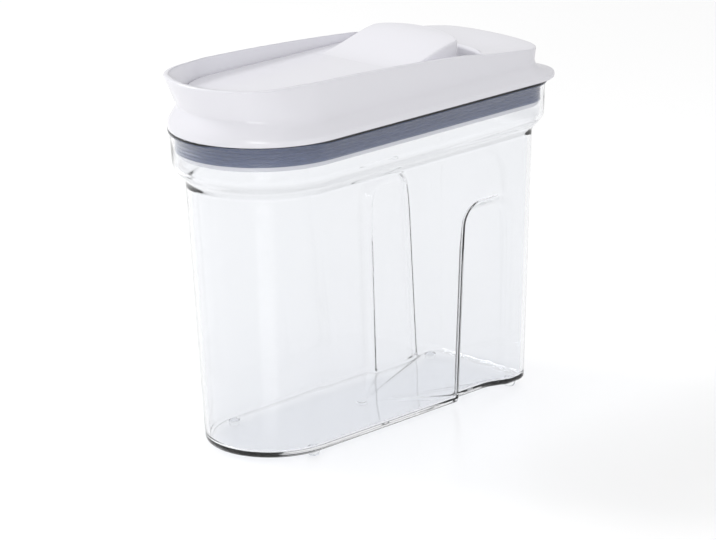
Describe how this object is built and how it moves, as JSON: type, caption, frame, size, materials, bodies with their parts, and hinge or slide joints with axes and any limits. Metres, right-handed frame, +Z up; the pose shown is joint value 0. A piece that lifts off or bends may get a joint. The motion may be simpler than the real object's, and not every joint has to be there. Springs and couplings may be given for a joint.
{
  "type": "cereal container with flip spout",
  "caption": "Clear D-shaped food keeper with a white push-in lid, pour spout and flip cover hinged at a finger trough.",
  "frame": {"origin": "on the table under the middle of the part's outline", "axes": "+X points to the back with the pull tab, the spout is at -X, +Z is up"},
  "size_m": [0.2498, 0.11, 0.2211],
  "materials": {
    "clear_plastic": "polished",
    "white_plastic": "satin",
    "inner_white_plastic": "matte",
    "blue_silicone": "matte",
    "pin_steel": "ground"
  },
  "bodies": {
    "container": {"container": "clear_plastic"},
    "lid": {"lid_cover": "white_plastic", "lid_base": "inner_white_plastic", "lid_gasket": "blue_silicone"},
    "flip": {"flip_cover": "white_plastic", "flip_liner": "inner_white_plastic", "flip_seal": "blue_silicone", "hinge_pin": "pin_steel"}
  },
  "joints": [
    {"name": "lid_lift", "type": "slide", "parent": "container", "child": "lid", "axis": [0, 0, 1], "range_m": [0, 0.06]},
    {"name": "flip_hinge", "type": "hinge", "parent": "lid", "child": "flip", "pos_m": [0.0479, 0, 0.2125], "axis": [0, 1, 0], "range_deg": [0, 90]}
  ]
}
